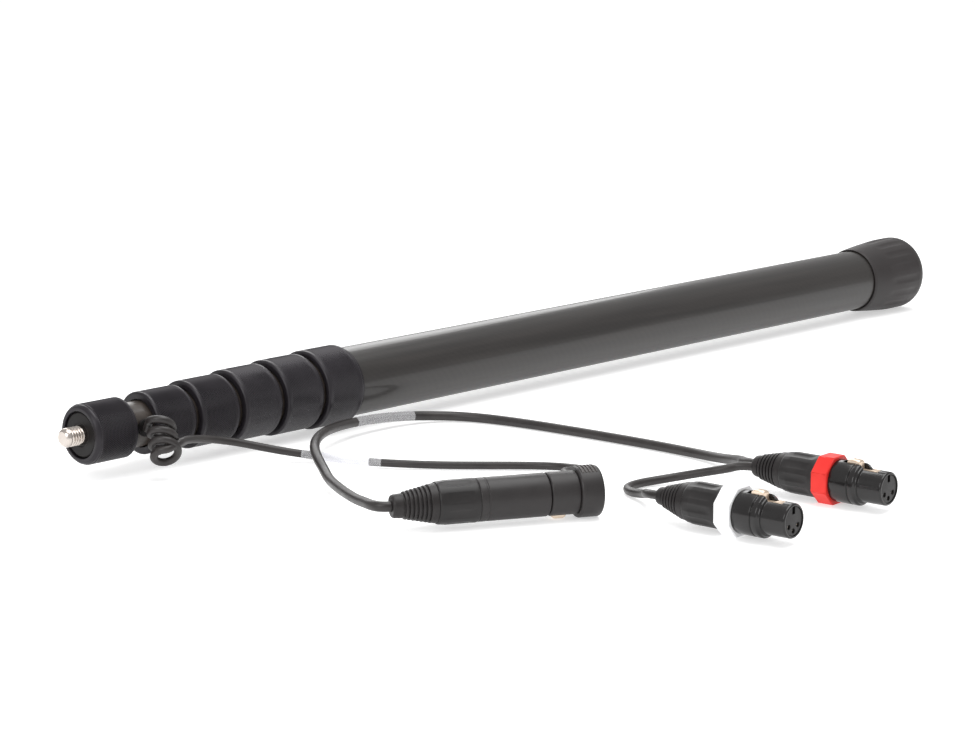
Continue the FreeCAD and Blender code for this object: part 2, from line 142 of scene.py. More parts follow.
def carbon_material(name, dark, light, rough, coat):
    """Wrapped carbon laminate: a faint crossing weave under the lacquer, with fine lengthwise streaks."""
    material, nodes, links, shader = new_material(name)
    shader.inputs["Specular IOR Level"].default_value = 0.35
    shader.inputs["Coat Weight"].default_value = coat
    shader.inputs["Coat Roughness"].default_value = 0.08
    streaks = noise(nodes, links, 260.0, 6.0, (0.04, 1, 1))
    weave = nodes.new("ShaderNodeTexWave")
    weave.wave_type = "BANDS"
    weave.bands_direction = "DIAGONAL"
    weave.inputs["Scale"].default_value = 130.0
    weave.inputs["Distortion"].default_value = 0.6
    coords = nodes.new("ShaderNodeTexCoord")
    links.new(coords.outputs["Object"], weave.inputs["Vector"])
    mix = nodes.new("ShaderNodeMath")
    mix.operation = "MULTIPLY_ADD"
    mix.inputs[1].default_value = 0.08
    links.new(weave.outputs["Fac"], mix.inputs[0])
    links.new(streaks.outputs["Fac"], mix.inputs[2])
    links.new(ramp(nodes, links, mix.outputs["Value"], dark, light, 0.35, 0.95), shader.inputs["Base Color"])
    links.new(ramp(nodes, links, streaks.outputs["Fac"], rough[0], rough[1]), shader.inputs["Roughness"])
    bump(nodes, links, shader, mix.outputs["Value"], 0.06, 0.00004)
    return material


def clear_sleeve_material():
    material, nodes, links, shader = new_material("clear_sleeve")
    shader.inputs["Base Color"].default_value = (0.95, 0.95, 0.97, 1)
    shader.inputs["Alpha"].default_value = 0.16
    shader.inputs["IOR"].default_value = 1.45
    haze = noise(nodes, links, 300.0, 4.0)
    links.new(ramp(nodes, links, haze.outputs["Fac"], 0.12, 0.3), shader.inputs["Roughness"])
    bump(nodes, links, shader, haze.outputs["Fac"], 0.3, 0.0001)
    return material


def make_materials():
    return {
        "anodised": surface("anodised", (0.017, 0.015, 0.018), (0.026, 0.023, 0.027), (0.32, 0.42), 0.3,
                            1500.0, 0.1),
        "base_carbon": carbon_material("base_carbon", (0.013, 0.011, 0.010), (0.026, 0.022, 0.020),
                                       (0.34, 0.46), 0.3),
        "tip_carbon": carbon_material("tip_carbon", (0.034, 0.027, 0.022), (0.062, 0.050, 0.043),
                                      (0.34, 0.44), 0.1),
        "stainless": surface("stainless", (0.48, 0.43, 0.39), (0.64, 0.59, 0.55), (0.2, 0.34), 1.0, 1400.0, 0.12,
                             specular=0.5),
        "insert_black": surface("insert_black", (0.008, 0.007, 0.007), (0.014, 0.012, 0.012), (0.45, 0.6),
                                specular=0.2),
        "nylon": surface("nylon", (0.012, 0.012, 0.012), (0.02, 0.02, 0.02), (0.5, 0.65), specular=0.2),
        "cap_rubber": surface("cap_rubber", (0.020, 0.017, 0.017), (0.032, 0.028, 0.028), (0.42, 0.55), 0.0,
                              700.0, 0.2, wear_scale=35.0),
        "connector_metal": surface("connector_metal", (0.008, 0.007, 0.007), (0.013, 0.012, 0.012), (0.16, 0.24),
                                   0.0, 1200.0, 0.06, 0.25),
        "satin_metal": surface("satin_metal", (0.020, 0.018, 0.018), (0.030, 0.027, 0.027), (0.36, 0.48), 0.0,
                               1200.0, 0.12),
        "clamp_grip": surface("clamp_grip", (0.05, 0.045, 0.044), (0.09, 0.082, 0.08), (0.4, 0.5), 0.0, 900.0, 0.1),
        "connector_polymer": surface("connector_polymer", (0.012, 0.011, 0.011), (0.022, 0.020, 0.020),
                                     (0.34, 0.48), 0.0, 1100.0, 0.2),
        "boot_rubber": surface("boot_rubber", (0.012, 0.010, 0.010), (0.022, 0.019, 0.019), (0.38, 0.5), 0.0,
                               900.0, 0.2),
        "gold_plate": surface("gold_plate", (0.72, 0.56, 0.42), (0.9, 0.76, 0.62), (0.28, 0.42), 0.85, 500.0, 0.3,
                              specular=0.5),
        "ring_red": surface("ring_red", (0.68, 0.022, 0.018), (0.78, 0.034, 0.026), (0.3, 0.42), 0.0, 700.0, 0.1),
        "ring_white": surface("ring_white", (0.84, 0.84, 0.85), (0.92, 0.92, 0.93), (0.32, 0.42), 0.0, 700.0, 0.1),
        "cord_jacket": surface("cord_jacket", (0.018, 0.015, 0.015), (0.030, 0.026, 0.025), (0.36, 0.46), 0.0,
                               1000.0, 0.25, wear_scale=120.0, specular=0.4),
        "label_paper": surface("label_paper", (0.70, 0.70, 0.74), (0.80, 0.80, 0.84), (0.5, 0.6), 0.0, 600.0, 0.1),
        "clear_sleeve": clear_sleeve_material(),
    }


materials = make_materials()


# ---------------------------------------------------------------- mesh helpers
def finish_mesh(name, vertices, faces, material, smooth_angle=35.0):
    mesh = bpy.data.meshes.new(name)
    mesh.from_pydata(vertices, [], faces)
    build = bmesh.new()
    build.from_mesh(mesh)
    bmesh.ops.remove_doubles(build, verts=build.verts, dist=1e-7)
    bmesh.ops.recalc_face_normals(build, faces=build.faces)
    for face in build.faces:
        face.smooth = True
    for edge in build.edges:
        if len(edge.link_faces) == 2 and edge.calc_face_angle(0.0) > math.radians(smooth_angle):
            edge.smooth = False
    build.to_mesh(mesh)
    build.free()
    obj = bpy.data.objects.new(name, mesh)
    bpy.context.scene.collection.objects.link(obj)
    obj.data.materials.append(materials[material])
    return obj


def rounded(profile, fillet=0.4, steps=4, closed=True):
    """Rounds the corners of an (x, radius) outline; points on the axis stay sharp."""
    result = []
    count = len(profile)
    for i, point in enumerate(profile):
        p = Vector(point[:2])
        size = point[2] if len(point) > 2 else fillet
        if not closed and i in (0, count - 1):
            result.append(tuple(p))
            continue
        before = Vector(profile[i - 1][:2]) - p
        after = Vector(profile[(i + 1) % count][:2]) - p
        reach = min(size, 0.45 * before.length, 0.45 * after.length)
        if p.y < 1e-6 or size <= 0 or reach < 1e-4:
            result.append(tuple(p))
            continue
        start = p + before.normalized() * reach
        end = p + after.normalized() * reach
        for k in range(steps + 1):
            t = k / steps
            result.append(tuple(start * (1 - t) ** 2 + p * (2 * t * (1 - t)) + end * t * t))
    return result


def lathe(name, profile, material, segments=96, relief=None, twist=None):
    """Turns an (x, radius) outline in millimetres about X.

    relief(x, radius, angle) adds to the radius; twist(x) turns each ring of points by an angle, so that
    slanted ridges follow the mesh lines.
    """
    vertices, faces = [], []
    count = len(profile)
    for i in range(segments):
        angle = 2 * math.pi * i / segments
        for x, radius in profile:
            r = radius + (relief(x, radius, angle) if relief and radius > 0 else 0.0)
            a = angle + (twist(x) if twist else 0.0)
            vertices.append((x * MM, -r * math.sin(a) * MM, r * math.cos(a) * MM))
    for i in range(segments):
        following = (i + 1) % segments
        for k in range(count):
            nxt = (k + 1) % count
            faces.append((i * count + k, i * count + nxt, following * count + nxt, following * count + k))
    return finish_mesh(name, vertices, faces, material)


def prism(name, outline, x0, x1, material, bevel=0.0):
    """Extrudes a closed (y, z) outline along X, with bevelled edges."""
    count = len(outline)
    vertices = [(x0 * MM, y * MM, z * MM) for y, z in outline] + [(x1 * MM, y * MM, z * MM) for y, z in outline]
    faces = [tuple(range(count)), tuple(range(2 * count - 1, count - 1, -1))]
    faces += [(i, i + count, (i + 1) % count + count, (i + 1) % count) for i in range(count)]
    obj = finish_mesh(name, vertices, faces, material)
    if bevel:
        add_bevel(obj, bevel)
    return obj


def add_bevel(obj, width_mm, segments=3, angle=30.0):
    build = bmesh.new()
    build.from_mesh(obj.data)
    edges = [e for e in build.edges if len(e.link_faces) == 2 and e.calc_face_angle(0.0) > math.radians(angle)]
    bmesh.ops.bevel(build, geom=edges, offset=width_mm * MM, offset_type="OFFSET", segments=segments,
                    affect="EDGES", clamp_overlap=True)
    for face in build.faces:
        face.smooth = True
    build.to_mesh(obj.data)
    build.free()
    return obj


def apply_modifier(obj, kind, **settings):
    modifier = obj.modifiers.new(kind.lower(), kind)
    for key, value in settings.items():
        setattr(modifier, key, value)
    bpy.context.view_layer.update()
    evaluated = obj.evaluated_get(bpy.context.evaluated_depsgraph_get())
    mesh = bpy.data.meshes.new_from_object(evaluated)
    obj.modifiers.clear()
    obj.data = mesh
    return obj


def cut(obj, cutter):
    """Takes one closed shape out of another and removes the cutter."""
    apply_modifier(obj, "BOOLEAN", operation="DIFFERENCE", solver="EXACT", object=cutter)
    bpy.data.objects.remove(cutter)
    shade_by_angle(obj)
    return obj


def shade_by_angle(obj, angle=32.0):
    build = bmesh.new()
    build.from_mesh(obj.data)
    for face in build.faces:
        face.smooth = True
    for edge in build.edges:
        if len(edge.link_faces) == 2:
            edge.smooth = edge.calc_face_angle(0.0) < math.radians(angle)
    build.to_mesh(obj.data)
    build.free()


def move(obj, matrix):
    obj.data.transform(matrix)
    obj.data.update()
    return obj


on_pole = Matrix.Translation((stud_tip_x, 0, axis_z))


def lying(tip, heading):
    """Where a connector lies: its cord end at tip, in millimetres, and its nose along heading, in degrees."""
    place = Matrix.Translation((stud_tip_x + tip[0] * MM, tip[1] * MM, tip[2] * MM))
    return place @ Matrix.Rotation(math.radians(heading), 4, "Z")


def install(obj, matrix, body, slot, *nodes):
    move(obj, matrix)
    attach(obj, body)
    if nodes:
        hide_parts(*nodes)
    return obj


# ---------------------------------------------------------------- pole
def span(node):
    """A pole node's first and last station and its largest radius, in millimetres."""
    a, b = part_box(node)
    return (a.x - stud_tip_x) / MM, (b.x - stud_tip_x) / MM, (b.z - a.z) / 2 / MM


def diagonal_knurl(x0, x1, pitch, depth, radius, slant=38.0):
    """Fine ridges that run down and back at a slant, fading out at both ends."""
    ridges = int(round(2 * math.pi * radius / pitch))

    def relief(x, r, angle):
        if r < radius - 0.05 or x <= x0 or x >= x1:
            return 0.0
        phase = (angle / (2 * math.pi) * ridges) % 1.0
        fade = min(1.0, (x - x0) / 0.5, (x1 - x) / 0.5)
        return -depth * abs(2 * phase - 1) * fade

    def twist(x):
        return min(max(x - x0, 0.0), x1 - x0) * math.tan(math.radians(slant)) / radius
    return ridges, relief, twist


def knurled_profile(front, rear, radius, bore, chamfer, plain, mouth=None):
    """Outline of a knurled ring with plain chamfered rims; the knurled stretch has many points."""
    steps = 26
    start, end = front + plain, rear - plain
    middle = [(start + (end - start) * i / steps, radius, 0) for i in range(steps + 1)]
    inner = mouth or [(rear, bore), (front, bore)]
    rim = [(front, radius - chamfer, 0.35), (front + chamfer * 0.8, radius, 0.5)]
    back = [(rear - chamfer * 0.8, radius, 0.5), (rear, radius - chamfer, 0.35)]
    return rounded(rim + middle + back + inner, 0.3)


def build_collars():
    for number in range(1, 6):
        node = "collar_%d" % number
        front, rear, radius = span(node)
        inner_tube = span("tube_%d" % (number + 1))[2]
        chamber = span("ferrule_%d" % number)[2] + 0.2
        mouth = [(rear, chamber), (front + 5, chamber), (front + 2.4, chamber - 0.9),
                 (front + 2.4, inner_tube + 0.5), (front, inner_tube + 0.5)]
        plain = 1.6 if number >= 4 else 2.0
        depth = 0.36 if number >= 4 else 0.2
        ridges, relief, twist = diagonal_knurl(front + plain, rear - plain, 1.05, depth, radius)
        profile = knurled_profile(front, rear, radius, chamber, 0.9, plain, mouth)
        piece = lathe("collar_shell_%d" % number, profile, "anodised", ridges * 6, relief, twist)
        install(piece, on_pole, "collar_%d_body" % number, "anodised", node)


def build_head():
    front, rear, radius = span("head_ring")
    bore = span("tube_6")[2] + 0.3
    ridges, relief, twist = diagonal_knurl(front + 2.6, rear - 1.6, 1.05, 0.4, radius)
    steps = 28
    start, end = front + 2.6, rear - 1.6
    middle = [(start + (end - start) * i / steps, radius, 0) for i in range(steps + 1)]
    outline = [(front, radius - 1.5, 0.5), (front + 1.4, radius - 0.35, 0.4), (front + 2.3, radius - 0.3, 0.3)]
    outline += middle + [(rear - 1.0, radius, 0.4), (rear, radius - 1.0, 0.3), (rear, bore), (front, bore, 0.3)]
    ring = lathe("head_shell", rounded(outline, 0.3), "anodised", ridges * 6, relief, twist)
    install(ring, on_pole, "head_ring_body", "anodised", "head_ring")
    plug_front, plug_rear, plug_radius = span("tip_plug")
    plug = lathe("tip_plug_disc", rounded([
        (plug_front + 0.35, stud_radius / MM + 0.05), (plug_front + 0.35, stud_radius / MM + 0.9),
        (plug_front, stud_radius / MM + 1.4), (plug_front, plug_radius - 0.8), (plug_front + 0.8, plug_radius),
        (18.0, plug_radius), (18.0, plug_radius - 1.1), (plug_rear, plug_radius - 1.1),
        (plug_rear, 4.25), (12.2, 4.25), (12.2, stud_radius / MM + 0.05)], 0.25), "insert_black")
    install(plug, on_pole, "tip_section", "nylon", "tip_plug")


def build_stud():
    """Threaded stud: 16 threads to the inch, with a turned and chamfered free end."""
    pitch = 25.4 / 16
    depth = 0.61 * pitch * 0.9
    crest = stud_radius / MM
    segments, per_turn = 72, 12
    thread_start, thread_end = 2.6, 10.0
    rows = [(0.0, 0.0), (0.0, crest - 1.5), (0.25, crest - 1.15), (0.8, crest - 0.6),
            (1.6, crest - 0.12), (2.2, crest)]
    count = int((thread_end - thread_start) / pitch * per_turn)
    rows += [(thread_start + (thread_end - thread_start) * i / count, crest) for i in range(count + 1)]
    rows += [(12.0, crest), (12.0, 4.2), (34.0, 4.2), (34.0, 0.0)]

    def relief(x, r, angle):
        if x < thread_start or x > thread_end or r < crest - 0.01:
            return 0.0
        phase = ((x - thread_start) / pitch - angle / (2 * math.pi)) % 1.0
        ridge = abs(2 * phase - 1)
        cut_depth = min(1.0, max(0.0, (ridge - 0.14) / 0.72))
        fade = min(1.0, (x - thread_start) / 0.9)
        return -depth * cut_depth * fade
    stud = lathe("threaded_stud", rows, "stainless", segments, relief)
    install(stud, on_pole, "tip_section", "stainless", "thread_stud")


def build_cap():
    """Moulded end cap: a thin lip, a flare, shallow finger grooves and a rounded end."""
    front, rear, radius = span("base_cap")
    bore = span("base_tube")[2] + 0.25
    outline = [(front, bore, 0.2), (front, 19.45, 0.5), (front + 1.6, 19.9, 0.6), (front + 4.0, 20.15, 2.0),
               (front + 16.0, 21.4, 4.0), (front + 27.0, 22.3, 4.0), (front + 32, radius, 2.0)]
    steps = 14
    bend = cap_end_rounding
    centre = rear - bend
    outline += [(centre - 6.0, radius, 0)]
    for k in range(steps + 1):
        turn = math.pi / 2 * k / steps
        outline.append((centre + bend * math.sin(turn), radius - bend + bend * math.cos(turn), 0))
    outline += [(rear, cap_outlet_radius, 0.4), (cap_inner_end, cap_outlet_radius, 0.2), (cap_inner_end, bore, 0.2)]
    points = rounded(outline, 0.4)
    filled = []
    for a, b in zip(points, points[1:] + points[:1]):
        pieces = max(1, int(abs(b[0] - a[0]) / 1.2)) if min(a[1], b[1]) > 19.3 else 1
        filled += [(a[0] + (b[0] - a[0]) * k / pieces, a[1] + (b[1] - a[1]) * k / pieces)
                   for k in range(pieces)]

    def relief(x, r, angle):
        if r < 19.4:
            return 0.0
        along = (x - cap_groove_start) / cap_groove_length
        if not 0 < along < 1:
            return 0.0
        wave = math.cos(angle * cap_grooves)
        return -0.55 * max(0.0, wave) ** 0.6 * math.sin(math.pi * along) ** 0.5
    cap = lathe("end_cap", filled, "cap_rubber", cap_grooves * 14, relief)
    install(cap, on_pole, "base_cap_body", "cap_rubber", "base_cap")


def dress_cad_nodes():
    """Gives each CAD node that stays its material."""
    looks = {"base_tube": "base_carbon", "cable_grommet": "insert_black", "base_socket": "connector_metal",
             "inner_coil": "cord_jacket"}
    for section in range(2, 7):
        looks["tube_%d" % section] = "tip_carbon"
        looks["rear_bush_%d" % section] = "nylon"
    for number in range(1, 6):
        looks["ferrule_%d" % number] = "anodised"
        looks["collet_%d" % number] = "nylon"
    for name in ("plug_insert", "low_insert", "red_insert", "white_insert"):
        looks[name] = "connector_polymer"
    for node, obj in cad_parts.items():
        obj.data.materials.clear()
        obj.data.materials.append(materials[looks.get(node, "connector_metal")])
        shade_keeping_points(obj)


def shade_keeping_points(obj):
    for polygon in obj.data.polygons:
        polygon.use_smooth = True
    obj.data.set_sharp_from_angle(angle=math.radians(30))


# ---------------------------------------------------------------- connectors, in millimetres, nose to +X
def boot_profile(length, tip_radius, end_radius, ribs, tip_length, bore):
    pitch = (length - tip_length - 2.5) / ribs
    outline = [(0, bore, 0.1), (0, tip_radius - 0.5, 0.5), (1.0, tip_radius, 0.6),
               (tip_length, tip_radius + 0.3, 0.3)]
    for i in range(ribs):
        x = tip_length + pitch * i
        radius = tip_radius + 0.6 + (end_radius - tip_radius - 0.6) * (i + 1) / ribs
        rib = x + pitch * 0.42
        outline += [(x, radius - 1.3, 0.25), (rib, radius - 1.25, 0.25), (rib, radius, 0.3),
                    (x + pitch, radius + 0.05, 0.3)]
    outline += [(length, end_radius + 0.45, 0.3), (length, bore, 0.1)]
    return rounded(outline, 0.3, 3)


def boot(name, length, tip_radius, end_radius, ribs, tip_length, entries):
    widest = max(abs(y) + r for y, r in entries)
    if len(entries) == 1:
        return lathe(name, boot_profile(length, tip_radius, end_radius, ribs, tip_length, entries[0][1] + 0.03),
                     "boot_rubber", 80)
    body = lathe(name, boot_profile(length, tip_radius, end_radius, ribs, tip_length, 0.0), "boot_rubber", 80)
    assert widest < tip_radius
    for y, radius in entries:
        hole = radius + 0.03
        bore = lathe("bore", [(-1.0, 0.0), (-1.0, hole), (12.0, hole), (12.0, 0.0)], "boot_rubber", 40)
        cut(body, move(bore, Matrix.Translation((0, y * MM, 0))))
    return body


def bushing(name, x0, x1, rear_radius, front_radius, flutes):
    outline = [(x0, 6.0, 0.1), (x0, rear_radius - 0.3, 0.4), (x0 + 0.6, rear_radius, 0.5),
               (x0 + 4.5, front_radius, 2.0)]
    steps = 18
    outline += [(x0 + 5.5 + (x1 - x0 - 6.5) * i / steps, front_radius, 0) for i in range(steps + 1)]
    outline += [(x1, front_radius - 0.25, 0.3), (x1, 6.0, 0.1)]
    points = rounded(outline, 0.3, 3)

    def relief(x, r, angle):
        along = (x - x0 - 1.2) / (x1 - x0 - 4.2)
        if r < rear_radius - 1 or not 0 < along < 1:
            return 0.0
        phase = (angle * flutes / (2 * math.pi)) % 1.0 - 0.5
        groove = max(0.0, 1 - (phase / 0.30) ** 2)
        return -0.55 * groove ** 0.7 * min(1.0, 4 * along, 5 * (1 - along)) ** 0.5
    return lathe(name, points, "connector_polymer", flutes * 16, relief)


def female_shell(name, x0, nose_x, end_x, radius, ring=None):
    """Shell with a stepped shoulder, twin grooves and a nose; optionally a waist for a coding ring."""
    outline = [(x0, insert_bore, 0.1)]
    if ring:
        outline += [(x0, radius - 0.5, 0.1), (ring, radius - 0.5, 0.1), (ring, radius, 0.3)]
    else:
        outline += [(x0, radius - 0.3, 0.3), (x0 + 0.5, radius, 0.3)]
    outline += [(nose_x - 4.6, radius, 0.3), (nose_x - 4.3, radius - 0.55, 0.15), (nose_x - 3.9, radius - 0.55, 0.15),
                (nose_x - 3.6, radius + 0.05, 0.3), (nose_x - 1.0, radius, 0.5), (nose_x - 0.5, radius - 0.9, 0.4),
                (nose_x + 0.3, radius - 1.1, 0.4), (nose_x + 0.5, nose_radius, 0.3), (end_x - 0.6, nose_radius, 0.4),
                (end_x, nose_radius - 0.5, 0.3), (end_x, insert_bore, 0.1)]
    shell = lathe(name, rounded(outline, 0.3, 3), "connector_metal", 112)
    return cut(shell, latch_slot(nose_x, "connector_metal"))


def latch_slot(nose_x, material):
    """The cutter for the slot that a latch sits in; nose_x is the nose's root."""
    half, floor = latch_slot_width / 2, latch_slot_floor
    return prism("slot", [(-half, floor), (half, floor), (half, 14), (-half, 14)], nose_x - 11.1, nose_x + 8.2,
                 material)


def female_face(name, x0, end_x, contacts, keyway=True):
    """Insert with its contact holes and a keyway."""
    body = lathe(name, rounded([(x0, 0.0), (x0, insert_radius, 0.1), (end_x - 0.4, insert_radius, 0.3),
                               (end_x - 0.4, 0.0)], 0.2), "connector_polymer", 96)
    for y, z in contacts:
        hole = lathe("hole", [(end_x - 9, 0.0), (end_x - 9, 1.15), (end_x - 0.7, 1.15), (end_x + 0.5, 1.5),
                              (end_x + 0.5, 0.0)], "connector_polymer", 28)
        cut(body, move(hole, Matrix.Translation((0, y * MM, z * MM))))
    if keyway:
        slot = prism("slot", [(-1.1, 3.2), (1.1, 3.2), (1.1, 8), (-1.1, 8)], end_x - 10, end_x + 1,
                     "connector_polymer")
        cut(body, slot)
    return body


def contact_sleeves(name, end_x, contacts):
    """Gold contact sleeves just inside the holes."""
    made = []
    for y, z in contacts:
        sleeve = lathe("sleeve", rounded([(end_x - 8.6, 0.62), (end_x - 8.6, 1.05), (end_x - 1.6, 1.05),
                                          (end_x - 1.6, 0.62)], 0.1), "gold_plate", 24)
        made.append(move(sleeve, Matrix.Translation((0, y * MM, z * MM))))
    return join(name, made)


def join(name, objects):
    """Joins meshes that share one material into one piece."""
    build = bmesh.new()
    for obj in objects:
        build.from_mesh(obj.data)
    mesh = objects[0].data.copy()
    build.to_mesh(mesh)
    build.free()
    for obj in objects:
        bpy.data.objects.remove(obj)
    piece = bpy.data.objects.new(name, mesh)
    bpy.context.scene.collection.objects.link(piece)
    return piece


def latch_piece(name, nose_x, radius):
    """Push tab, bar and hook of the latch, as one bent strip with rounded edges."""
    half = 2.3
    outline = [(nose_x - 10.0, 6.15), (nose_x + 7.4, 6.15), (nose_x + 7.4, 7.55), (nose_x + 6.4, 7.8),
               (nose_x + 3.6, 7.8), (nose_x + 3.0, 7.1), (nose_x - 1.9, 7.1), (nose_x - 2.2, radius + 0.55),
               (nose_x - 3.2, radius + 1.15), (nose_x - 7.6, radius + 1.25), (nose_x - 8.8, radius + 0.6),
               (nose_x - 9.1, 7.1), (nose_x - 10.0, 7.1)]
    count = len(outline)
    vertices = [(x * MM, side * MM, z * MM) for side in (-half, half) for x, z in outline]
    faces = [tuple(range(count)), tuple(range(2 * count - 1, count - 1, -1))]
    faces += [(i, i + count, (i + 1) % count + count, (i + 1) % count) for i in range(count)]
    strip = finish_mesh(name, vertices, faces, "gold_plate")
    add_bevel(strip, 0.22, 3, 25.0)
    return strip


def coding_ring(name, x0, x1, colour):
    sides = 8
    corners = [2 * math.pi * (i + 0.5) / sides for i in range(sides)]
    outline = [(coding_ring_radius * math.cos(a), coding_ring_radius * math.sin(a)) for a in corners]
    ring = prism(name, outline, x0, x1, colour)
    seat = shell_radius - 0.45
    bore = lathe("bore", [(x0 - 1, 0.0), (x0 - 1, seat), (x1 + 1, seat), (x1 + 1, 0.0)], colour, 96)
    cut(ring, bore)
    return add_bevel(ring, 0.35, 3, 20.0)


def three_contacts():
    angles = [math.radians(a) for a in (-115, 115, 180)]
    return [(contact_circle * math.sin(a), contact_circle * math.cos(a) - 0.6) for a in angles]


def build_cable_end(prefix, tip, heading, entries):
    """A three-pin female cable connector, rebuilt in detail over its CAD nodes."""
    place = lying(tip, heading)
    tip_radius = 5.2 if len(entries) > 1 else 4.2
    latch_body = prefix + "_latch_body"
    ring_look = "ring_" + prefix
    pieces = []

    def place_piece(obj, body, slot, node):
        pieces.append(install(obj, place, body, slot, "%s_%s" % (prefix, node)))

    place_piece(boot(prefix + "_ribbed_boot", boot_end, tip_radius, 8.8, 6, 3.6, entries),
                "y_cable", "boot_rubber", "boot")
    place_piece(bushing(prefix + "_fluted_bushing", boot_end, ring_front, 9.6, shell_radius, 10),
                "y_cable", "connector_polymer", "bushing")
    place_piece(coding_ring(prefix + "_coding_ring", ring_front, ring_rear, ring_look), "y_cable", ring_look, "ring")
    place_piece(female_shell(prefix + "_shell_piece", ring_front, nose_start, female_length, shell_radius, ring_rear),
                "y_cable", "connector_black", "shell")
    place_piece(female_face(prefix + "_face", ring_front - 2, female_length, three_contacts()),
                "y_cable", "connector_polymer", "insert")
    place_piece(latch_piece(prefix + "_latch_strip", nose_start, shell_radius), latch_body, "latch_gold", "latch")
    sleeves = contact_sleeves(prefix + "_contacts", female_length, three_contacts())
    pieces.append(install(sleeves, place, "y_cable", "latch_gold"))
    return pieces


def build_pair():
    """The mated pair: the Y cable's plug and the pole's low-profile plug."""
    place = lying(pair_tip, pair_heading)
    front, seam = pair_shell_front, pair_seam
    shell = lathe("plug_shell_piece", rounded([
        (front, 7.4, 0.1), (front, shell_radius - 0.3, 0.3), (front + 0.5, shell_radius, 0.3),
        (front + 3.5, shell_radius, 0.1), (front + 3.7, shell_radius - 0.25, 0.1),
        (front + 4.3, shell_radius - 0.25, 0.1), (front + 4.5, shell_radius, 0.1), (seam - 0.5, shell_radius, 0.3),
        (seam, shell_radius - 0.45, 0.3), (seam, 8.4, 0.1), (seam - plug_mouth_depth, 8.4, 0.1),
        (seam - plug_mouth_depth, 7.4, 0.1)], 0.3, 3), "satin_metal", 112)
    made = [
        (boot("plug_ribbed_boot", pair_boot_end, 5.5, 8.9, 7, 4.9, [(0, 2.5)]), "y_cable", "boot_rubber",
         "plug_boot"),
        (bushing("plug_fluted_bushing", pair_boot_end, front, 9.9, shell_radius + 0.15, 8), "y_cable",
         "connector_polymer", "plug_bushing"),
        (shell, "y_cable", "connector_black", "plug_shell"),
    ]
    pieces = [install(obj, place, body, slot, node) for obj, body, slot, node in made]
    cap_end = seam + low_shell_length + low_cap_length
    length = cap_end - (seam - 0.2 - nose_length)
    turned_round = Matrix.Translation((cap_end * MM, 0, 0)) @ Matrix.Rotation(math.pi, 4, "Z")
    turned_round = place @ turned_round @ Matrix.Rotation(math.pi, 4, "X")
    root = length - nose_length - 0.6
    cap_depth = low_cap_length
    low_shell = lathe("low_shell_piece", rounded([
        (cap_depth, 6.9, 0.1), (cap_depth, 9.9, 0.2), (cap_depth + 0.4, shell_radius, 0.2),
        (root - 0.5, shell_radius, 0.3), (root, 9.6, 0.3), (root, 7.9, 0.1), (length - 0.6, 7.9, 0.4),
        (length, 7.4, 0.3), (length, 6.9, 0.1)], 0.3, 3), "satin_metal", 112)
    cut(low_shell, latch_slot(root, "satin_metal"))
    rim = low_cap_radius
    cap = lathe("low_turning_cap", rounded([
        (0, 0.0), (0, rim - 0.8, 0.6), (0.8, rim, 0.6), (cap_depth - 0.8, rim, 0.4), (cap_depth, rim - 0.6, 0.3),
        (cap_depth, 8.6, 0.1), (1.6, 8.6, 0.1), (1.6, 0.0)], 0.3, 3), "satin_metal", 120)
    cut(cap, prism("slot", [(-6.05, -13.0), (6.05, -13.0), (6.05, -6.95), (-6.05, -6.95)], 2.15, 9.65,
                   "satin_metal"))
    entry = lathe("entry", [(-2.0, 0.0), (-2.0, 4.0), (16.0, 4.0), (16.0, 0.0)], "satin_metal", 48)
    move(entry, Matrix.Translation((6.2 * MM, 0, -2.0 * MM)) @ Matrix.Rotation(math.radians(90), 4, "Z"))
    cut(cap, entry)
    clamp = ribbed_clamp()
    latch = latch_piece("low_latch_strip", root, shell_radius)
    for obj, body, slot_name, node in (
            (low_shell, "tip_section", "connector_black", "low_shell"),
            (cap, "tip_section", "connector_black", "low_cap"),
            (clamp, "tip_section", "connector_black", "low_clamp"),
            (latch, "low_latch_body", "latch_gold", "low_latch")):
        pieces.append(install(obj, turned_round, body, slot_name, node))
    return pieces


def ribbed_clamp():
    """Clamp block with four ribs across it, its top rounded to follow the cap."""
    profile = [(2.2, 0.0)]
    for i in range(4):
        x = 2.7 + 1.7 * i
        profile += [(x, 0.0), (x + 0.15, 0.55), (x + 0.85, 0.55), (x + 1.0, 0.0)]
    profile += [(9.6, 0.0)]
    steps = 10
    vertices, faces = [], []
    for k in range(steps + 1):
        y = -6.0 + 12.0 * k / steps
        for x, drop in profile:
            vertices.append((x * MM, y * MM, -math.sqrt((low_cap_radius + 0.35 - drop) ** 2 - y * y) * MM))
        vertices += [(9.6 * MM, y * MM, -7.0 * MM), (2.2 * MM, y * MM, -7.0 * MM)]
    count = len(profile) + 2
    for k in range(steps):
        for i in range(count):
            n = (i + 1) % count
            faces.append((k * count + i, k * count + n, (k + 1) * count + n, (k + 1) * count + i))
    faces += [tuple(range(count)), tuple(range(steps * count + count - 1, steps * count - 1, -1))]
    return finish_mesh("low_clamp_block", vertices, faces, "clamp_grip", 25.0)


# ---------------------------------------------------------------- cords
def spot(point):
    """A station point in millimetres as a point of the frame in metres."""
    return Vector((stud_tip_x + point[0] * MM, point[1] * MM, point[2] * MM))


# Where the labels start on their cords, in millimetres, and how long they are, in metres.
pole_label_start, pole_label_length = (110.7, -50.8, 4.6), 44.0 * MM
y_label_start, y_label_length = (170.6, -26.8, 7.8), 43.0 * MM
paper_inset = 7 * MM                     # from the sleeve's end to the paper inside it

